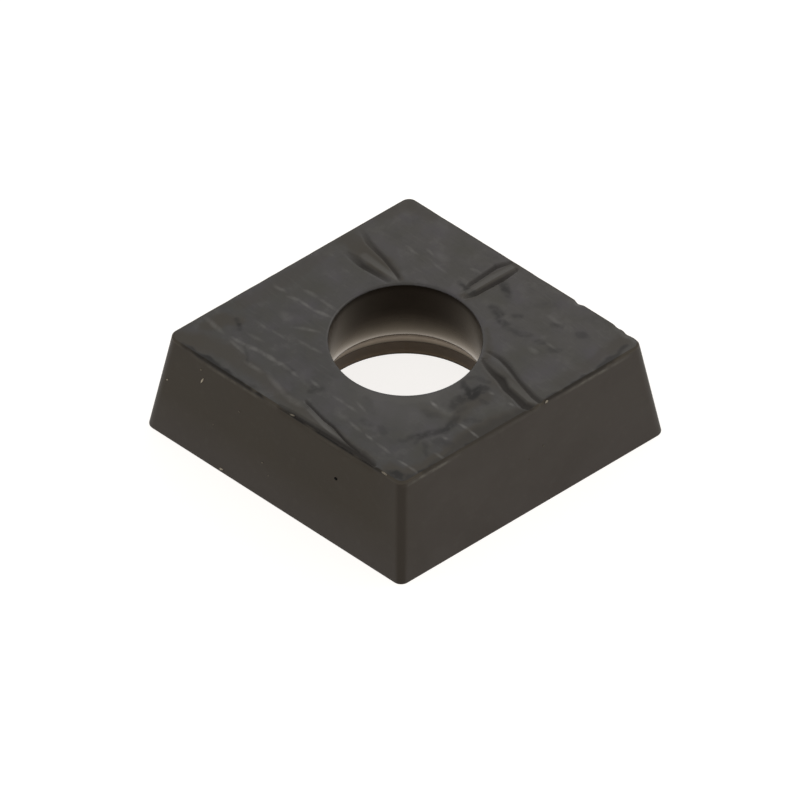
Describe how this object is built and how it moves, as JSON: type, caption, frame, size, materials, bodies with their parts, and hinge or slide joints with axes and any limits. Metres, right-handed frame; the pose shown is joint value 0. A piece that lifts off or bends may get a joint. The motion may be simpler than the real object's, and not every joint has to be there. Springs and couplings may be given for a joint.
{
  "type": "turning insert",
  "caption": "Indexable carbide turning insert: rhombic body with leaning flanks, small corner radii, a countersunk screw hole and a moulded chipbreaker on its rake face.",
  "frame": {"origin": "on the screw hole's axis, at the level of the cutting edges, where the insert rests on its rake face", "axes": "+Z along the screw hole's axis from the rake face to the smaller seat face, +X towards one of the two cutting corners"},
  "size_m": [0.0192, 0.0164, 0.0048],
  "materials": {
    "coated_carbide": "satin dark grey coating"
  },
  "bodies": {
    "root": {"insert": "coated_carbide"}
  },
  "joints": []
}
